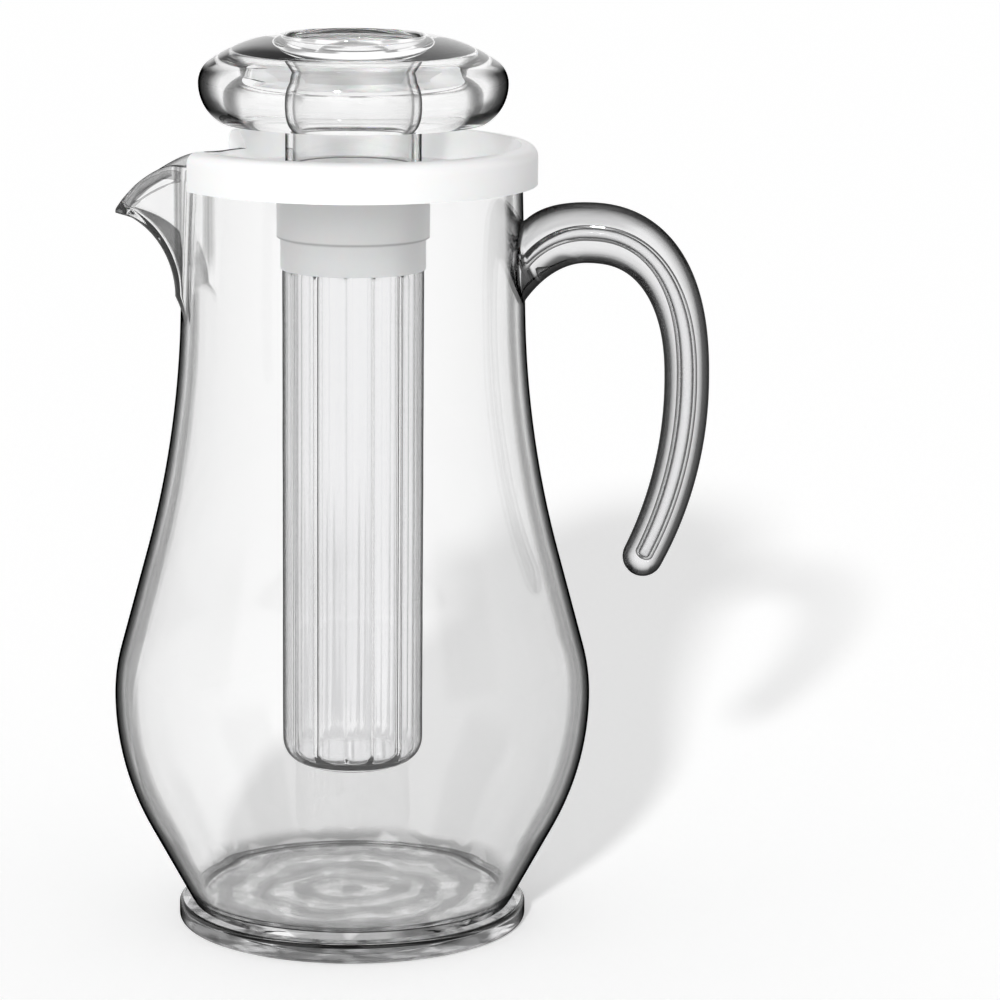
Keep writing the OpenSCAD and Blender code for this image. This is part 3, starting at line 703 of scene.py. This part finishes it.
# %% Build the foot
FOOT_R, FOOT_ROUND, RECESS_R, RECESS_H = 55.7, 1.6, 28.8, 2.2
FOOT_UNDER = 0.05
foot_outline = rounded([(HUB_R, RECESS_H, 0), (RECESS_R, RECESS_H, 0.8), (RECESS_R + 0.4, 0, 0.6),
                        (FOOT_R, 0, FOOT_ROUND), (FOOT_R, FOOT_H, FOOT_ROUND), (base_r + 1.2, FOOT_H, 0),
                        (base_r - 0.6, FOOT_H - FOOT_UNDER, 0), (HUB_R, FOOT_H - FOOT_UNDER, 0)], 8)
foot_rows = turned(foot_outline, 384)
piece_from_rows("foot_disc", foot_rows, "pitcher", ["foot"], foot_clear)

# %% [markdown]
# ## The handle
#
# The handle is a curved bar: it leaves the neck, arches over and falls into an open hook with a round
# tip. Its centre line has three stretches, and a hoop of points is set square to it at every step. A
# line inside it, with a round end before the tip, is read as a thin channel of gas, as moulders use to
# save plastic in a thick bar.

# %% The handle's centre line
ROOT_Z, ROOT_HALF, ROOT_SIDE = 213.8, 13.0, 9.5
ARCH_X, ARCH_Z, ARCH_HALF = 74.0, 223.8, 9.5
GRIP_X, GRIP_Z, GRIP_HALF, GRIP_SIDE = 105.6, 177.0, 7.0, 7.8
TAIL_R, TIP_Z, TIP_R = 125.0, 121.5, 6.4
CORE_R, CORE_END, ARCH_POWER = 1.9, 6.0, 0.84
arch_a, arch_b = GRIP_X - ARCH_X, ARCH_Z - GRIP_Z
root_x = NECK_R + (RIM_Z - ROOT_Z) * math.tan(NECK_LEAN)
root_dx, root_dz = ARCH_X - root_x, ARCH_Z - ROOT_Z
root_arc = (root_dx ** 2 + root_dz ** 2) / (2 * root_dz)
tail_end = math.asin((GRIP_Z - TIP_Z) / TAIL_R)
tail_core = tail_end - (CORE_R + CORE_END - TIP_R) / TAIL_R


def root_at(u):
    x = root_x + u * root_dx
    q = math.asin((ARCH_X - x) / root_arc)
    ease = 1 - math.sin(math.pi / 2 * u)
    return ((x, ARCH_Z - root_arc * (1 - math.cos(q))), (0, 1), ARCH_HALF + (ROOT_HALF - ARCH_HALF) * ease,
            GRIP_SIDE + (ROOT_SIDE - GRIP_SIDE) * ease)


def arch_at(t):
    c, s = math.cos(t) ** ARCH_POWER, math.sin(t) ** ARCH_POWER
    k = 2 / ARCH_POWER - 1
    n = (c ** k / arch_a, s ** k / arch_b)
    size = math.hypot(*n)
    return ((ARCH_X + arch_a * c, GRIP_Z + arch_b * s), (n[0] / size, n[1] / size),
            GRIP_HALF + (ARCH_HALF - GRIP_HALF) * math.sin(t) ** 2, GRIP_SIDE)


def tail_at(q):
    w = (q / tail_end) ** 2
    centre = (GRIP_X - TAIL_R * (1 - math.cos(q)), GRIP_Z - TAIL_R * math.sin(q))
    return (centre, (math.cos(q), -math.sin(q)),
            GRIP_HALF + (TIP_R - GRIP_HALF) * w, GRIP_SIDE + (TIP_R - GRIP_SIDE) * w)


# %% Build the handle
HOOP = 72
hoop = np.arange(HOOP) * 2 * math.pi / HOOP


def hoop_row(centre, out, half, side):
    return np.stack([centre[0] + out[0] * half * np.sin(hoop), side * np.cos(hoop),
                     centre[1] + out[1] * half * np.sin(hoop)], -1)


def end_rows(f, q, radius, count, inward):
    got = []
    for k in range(1, count + 1):
        a = math.pi / 2 * (k / (count + 1) if inward else 1 - k / (count + 1))
        move = radius * math.sin(a)
        centre = (f[0][0] - move * math.sin(q), f[0][1] - move * math.cos(q))
        got.append(hoop_row(centre, f[1], radius * math.cos(a), radius * math.cos(a)))
    return got


def saddle(half, side):
    y, z = side * np.cos(hoop), ROOT_Z + half * np.sin(hoop)
    r = NECK_R + (RIM_Z - z) * math.tan(NECK_LEAN) + 0.02
    return np.stack([np.sqrt(r * r - y * y), y, z], -1)


TAIL_STEPS, ARCH_STEPS, ROOT_STEPS = 40, 70, 24
stations = [tail_at(tail_end * (1 - k / TAIL_STEPS)) for k in range(TAIL_STEPS)]
stations += [arch_at(math.pi / 2 * k / ARCH_STEPS) for k in range(ARCH_STEPS)]
stations += [root_at(1 - k / ROOT_STEPS) for k in range(ROOT_STEPS)]
skin_rows = end_rows(tail_at(tail_end), tail_end, TIP_R, 10, False) + [hoop_row(*f) for f in stations]
skin_rows += [saddle(ROOT_HALF, ROOT_SIDE), saddle((ROOT_HALF + CORE_R) / 2, (ROOT_SIDE + CORE_R) / 2),
              saddle(CORE_R, CORE_R)]
channel = [root_at(k / ROOT_STEPS) for k in range(2, ROOT_STEPS + 1)]
channel += [arch_at(math.pi / 2 * (1 - k / ARCH_STEPS)) for k in range(1, ARCH_STEPS + 1)]
channel += [tail_at(tail_core * k / TAIL_STEPS) for k in range(1, TAIL_STEPS + 1)]
skin_rows += [hoop_row(f[0], f[1], CORE_R, CORE_R) for f in channel]
skin_rows += end_rows(tail_at(tail_core), tail_core, CORE_R, 6, True)
piece_from_rows("handle_bar", skin_rows, "pitcher", ["handle"], handle_clear)

# %% [markdown]
# ## The ice core
#
# The tube is round outside and fluted inside: twelve hollows with ribs between them, which would stiffen it
# and give the ice more wall to cool. The ribs stop at the rounded floor. A fluted core in the mould, drawn
# out through the open top, could make it.

# %% Build the tube
TUBE_R, TUBE_Z, TUBE_FLOOR, TUBE_ROUND = 22.3, 51.2, 4.0, 8.0
FLUTES, FLUTE_R, FLUTE_X = 12, 5.9, 13.9
COLLAR_Z, TUBE_NECK_R, TUBE_TOP_Z = 211.0, 21.2, 219.0
AROUND_TUBE = 384
tube_outline = rounded([(HUB_R, TUBE_Z, 0), (TUBE_R, TUBE_Z, TUBE_ROUND), (TUBE_R, COLLAR_Z, 0.15),
                        (TUBE_NECK_R, COLLAR_Z, 0.15), (TUBE_NECK_R, TUBE_TOP_Z, 0.2),
                        (FLUTE_X + FLUTE_R, TUBE_TOP_Z, 0.2), (FLUTE_X + FLUTE_R, COLLAR_Z, 0)], 12)
tube_rows = turned(tube_outline, AROUND_TUBE)
turns = np.arange(AROUND_TUBE) * 2 * math.pi / AROUND_TUBE
pitch = 2 * math.pi / FLUTES
off = (turns % pitch) - pitch / 2
flute = FLUTE_X * np.cos(off) + np.sqrt(FLUTE_R ** 2 - (FLUTE_X * np.sin(off)) ** 2)
RIB_ROUND, RIB_SPREAD, FLUTE_FLOOR = 0.4, 0.02, 3
near_rib = np.exp(-((np.abs(off) - pitch / 2) / RIB_SPREAD) ** 2)
flute = np.minimum(flute, FLUTE_X + FLUTE_R) + RIB_ROUND * near_rib * 0.5
bottom = TUBE_Z + TUBE_FLOOR
for z in np.concatenate([[COLLAR_Z - 0.3], np.linspace(COLLAR_Z - 2, bottom + FLUTE_FLOOR, 40)]):
    tube_rows.append(np.stack([flute * np.cos(turns), flute * np.sin(turns), np.full(AROUND_TUBE, z)], -1))
for k in range(1, 9):
    a = math.pi / 2 * k / 8
    r = flute - FLUTE_FLOOR * (1 - math.cos(a))
    z = bottom + FLUTE_FLOOR - FLUTE_FLOOR * math.sin(a)
    tube_rows.append(np.stack([r * np.cos(turns), r * np.sin(turns), np.full(AROUND_TUBE, z)], -1))
for share in (0.66, 0.33, 0.03):
    r = (flute - FLUTE_FLOOR) * share
    tube_rows.append(np.stack([r * np.cos(turns), r * np.sin(turns), np.full(AROUND_TUBE, bottom)], -1))
piece_from_rows("ice_tube_fluted", tube_rows, "ice_core", ["ice_tube"], core_clear)

# %% [markdown]
# ## The knob
#
# The knob is read as two clear round pieces, pressed together: a thick cap, hollow below, and a cup that
# goes through its middle and down into the lid. Both are outlines spun about the axis.

# %% Build the cap and the cup
KNOB_R, KNOB_Z, KNOB_LOW_Z, LOW_ARC, HIGH_ARC = 48.4, 269.0, 257.2, 14.1, 8.5
KNOB_TURN, CROWN_ARC = math.radians(55.7), 48.0
HOLLOW_R, HOLLOW_Z, HOLLOW_ROUND = 40.5, 277.5, 6.0
CUP_R, CUP_WALL, CUP_Z, CUP_TOP_Z, FLANGE_R, FLANGE_T = 21.3, 2.3, 234.0, 282.0, 25.0, 2.2
RECESS_Z = 241.0
CHAMFER, CHAMFER_DEEP, CAP_GAP = 1.2, 1.4, 0.05
KNOB_AROUND = 256
side_x = KNOB_R - HIGH_ARC
crown_x = side_x - (CROWN_ARC - HIGH_ARC) * math.cos(KNOB_TURN)
crown_z = KNOB_Z - (CROWN_ARC - HIGH_ARC) * math.sin(KNOB_TURN)
cap_outline = []
low_start = math.asin((KNOB_Z - KNOB_LOW_Z) / LOW_ARC)
low_mid = KNOB_R - LOW_ARC
for k in range(25):
    a = -low_start * (1 - k / 24)
    cap_outline.append((low_mid + LOW_ARC * math.cos(a), KNOB_Z + LOW_ARC * math.sin(a)))
for k in range(1, 21):
    a = KNOB_TURN * k / 20
    cap_outline.append((side_x + HIGH_ARC * math.cos(a), KNOB_Z + HIGH_ARC * math.sin(a)))
crown_stop = math.acos((CUP_R + CHAMFER - crown_x) / CROWN_ARC)
for k in range(1, 41):
    a = KNOB_TURN + (crown_stop - KNOB_TURN) * k / 40
    cap_outline.append((crown_x + CROWN_ARC * math.cos(a), crown_z + CROWN_ARC * math.sin(a)))
crown_top = cap_outline[-1][1]
start = cap_outline[0]
inner = rounded([(CUP_R + CHAMFER, crown_top, 0), (CUP_R + CAP_GAP, crown_top - CHAMFER_DEEP, 0.8),
                 (CUP_R + CAP_GAP, HOLLOW_Z, 0.5), (HOLLOW_R, HOLLOW_Z, HOLLOW_ROUND),
                 (HOLLOW_R, KNOB_LOW_Z, 0.8), start + (0,)], 12)
cap_outline = cap_outline + [tuple(q) for q in inner[1:]]
cap_rows = turned(cap_outline, KNOB_AROUND)
piece_from_rows("knob_cap_shell", cap_rows, "knob", ["knob_cap"], knob_clear,
                ends=(False, False))
cup_outline = rounded([(HUB_R, CUP_Z, 0), (CUP_R, CUP_Z, 1.0), (CUP_R, RECESS_Z, 0.2),
                       (FLANGE_R, RECESS_Z, 0.4), (FLANGE_R, RECESS_Z + FLANGE_T, 0.6),
                       (CUP_R, RECESS_Z + FLANGE_T, 0.6), (CUP_R, CUP_TOP_Z, 0.8),
                       (CUP_R - CUP_WALL, CUP_TOP_Z, 0.8), (CUP_R - CUP_WALL, CUP_Z + CUP_WALL, 2.0),
                       (HUB_R, CUP_Z + CUP_WALL, 0)], 8)
cup_rows = turned(cup_outline, KNOB_AROUND)
piece_from_rows("knob_cup_tube", cup_rows, "knob", ["knob_cup"], cup_clear)

# %% Dress the white CAD nodes
FINISH = {"lid": lid_white, "tube_collar": collar_white}
for name, finish in FINISH.items():
    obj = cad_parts[name]
    for place_in in obj.material_slots:
        place_in.material = finish
    print(name, "faces", len(obj.data.polygons), "finish", finish.name)

# %% [markdown]
# ## Floor and light
#
# The object stands on a pale floor in soft, even light, with one sun from the front left that throws the
# long soft shadow. The floor reads as white to the camera, also through the clear plastic. Under the foot
# it glows brighter still, a painted pool of light where the foot's shadow falls.

# %% Floor and backdrop
FLOOR_Z, FLOOR_HALF = -0.0002, 20
floor_mesh = bpy.data.meshes.new("floor")
floor_corners = [(x * FLOOR_HALF, y * FLOOR_HALF, FLOOR_Z) for x, y in ((-1, -1), (1, -1), (1, 1), (-1, 1))]
floor_mesh.from_pydata(floor_corners, [], [(0, 1, 2, 3)])
floor = bpy.data.objects.new("floor", floor_mesh)
scene.collection.objects.link(floor)


def seen_mask(tree):
    path = node(tree, "ShaderNodeLightPath")
    first = node(tree, "ShaderNodeMath", operation="ADD", use_clamp=True)
    second = node(tree, "ShaderNodeMath", operation="ADD", use_clamp=True)
    tree.links.new(path.outputs["Is Camera Ray"], first.inputs[0])
    tree.links.new(path.outputs["Is Glossy Ray"], first.inputs[1])
    tree.links.new(first.outputs[0], second.inputs[0])
    tree.links.new(path.outputs["Is Transmission Ray"], second.inputs[1])
    return second.outputs[0]


floor_paint, tree, shader = new_material("floor_paint")
shader.inputs["Base Color"].default_value = (0.9, 0.9, 0.9, 1)
shader.inputs["Roughness"].default_value = 1.0
shader.inputs["Specular IOR Level"].default_value = 0.0
shader.inputs["Emission Color"].default_value = (1, 1, 1, 1)
FOOT_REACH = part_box("foot")[1].x
where = node(tree, "ShaderNodeTexCoord")
reach = node(tree, "ShaderNodeVectorMath", operation="LENGTH")
# Painted light: the floor glows brighter under the foot, where the foot's shadow falls.
lit_under_foot = node(tree, "ShaderNodeMapRange")
lit_under_foot.inputs["From Min"].default_value = FOOT_REACH
lit_under_foot.inputs["From Max"].default_value = FOOT_REACH - 0.004
lit_under_foot.inputs["To Min"].default_value = 0.35
lit_under_foot.inputs["To Max"].default_value = 0.5
glow = node(tree, "ShaderNodeMath", operation="MULTIPLY")
tree.links.new(where.outputs["Object"], reach.inputs[0])
tree.links.new(reach.outputs["Value"], lit_under_foot.inputs["Value"])
tree.links.new(seen_mask(tree), glow.inputs[0])
tree.links.new(lit_under_foot.outputs["Result"], glow.inputs[1])
tree.links.new(glow.outputs[0], shader.inputs["Emission Strength"])
floor_mesh.materials.append(floor_paint)

# %% World and sun
world = bpy.data.worlds.new("soft_room")
world.use_nodes = True
scene.world = world
tree = world.node_tree
sky = tree.nodes["Background"]
sky.inputs["Color"].default_value = (1, 1, 1, 1)
# In the room that the plastic mirrors and bends, soft lamps stand all round with dark gaps between them.
way = node(tree, "ShaderNodeTexCoord")
parts = node(tree, "ShaderNodeSeparateXYZ")
tree.links.new(way.outputs["Generated"], parts.inputs[0])
round_way = node(tree, "ShaderNodeMath", operation="ARCTAN2")
tree.links.new(parts.outputs["Y"], round_way.inputs[0])
tree.links.new(parts.outputs["X"], round_way.inputs[1])
LAMPS = 5
beat = node(tree, "ShaderNodeMath", operation="MULTIPLY")
beat.inputs[1].default_value = LAMPS
swing = node(tree, "ShaderNodeMath", operation="SINE")
tree.links.new(round_way.outputs[0], beat.inputs[0])
tree.links.new(beat.outputs[0], swing.inputs[0])
lamp = node(tree, "ShaderNodeMapRange", interpolation_type="SMOOTHSTEP")
lamp.inputs["From Min"].default_value = -0.5
lamp.inputs["From Max"].default_value = 0.1
lamp.inputs["To Min"].default_value = 0.3
lamp.inputs["To Max"].default_value = 1.1
tree.links.new(swing.outputs[0], lamp.inputs["Value"])
high = node(tree, "ShaderNodeMapRange", interpolation_type="SMOOTHSTEP")
high.inputs["From Min"].default_value = 0.1
high.inputs["From Max"].default_value = 0.3
tree.links.new(parts.outputs["Z"], high.inputs["Value"])
room = node(tree, "ShaderNodeMix")
room.inputs["A"].default_value = 1.0
tree.links.new(high.outputs["Result"], room.inputs["Factor"])
tree.links.new(lamp.outputs["Result"], room.inputs["B"])
path = node(tree, "ShaderNodeLightPath")
bent = node(tree, "ShaderNodeMath", operation="MAXIMUM")
tree.links.new(path.outputs["Is Glossy Ray"], bent.inputs[0])
tree.links.new(path.outputs["Is Transmission Ray"], bent.inputs[1])
inside = node(tree, "ShaderNodeMix")
inside.inputs["A"].default_value = 0.45
tree.links.new(bent.outputs[0], inside.inputs["Factor"])
tree.links.new(room.outputs["Result"], inside.inputs["B"])
whole = node(tree, "ShaderNodeMix")
whole.inputs["B"].default_value = 1.0
tree.links.new(path.outputs["Is Camera Ray"], whole.inputs["Factor"])
tree.links.new(inside.outputs["Result"], whole.inputs["A"])
tree.links.new(whole.outputs["Result"], sky.inputs["Strength"])

SUN_HEIGHT, SUN_SIDE = math.radians(22.5), math.radians(12.5)
sun = bpy.data.objects.new("sun", bpy.data.lights.new("sun", "SUN"))
sun.data.energy = 2.2
sun.data.angle = math.radians(4)
shine = turn @ Vector((math.sin(SUN_SIDE) * math.cos(SUN_HEIGHT), math.cos(SUN_SIDE) * math.cos(SUN_HEIGHT),
                       -math.sin(SUN_HEIGHT)))
sun.rotation_euler = shine.to_track_quat("-Z", "Y").to_euler()
scene.collection.objects.link(sun)
print("sun points along", [round(v, 2) for v in shine])
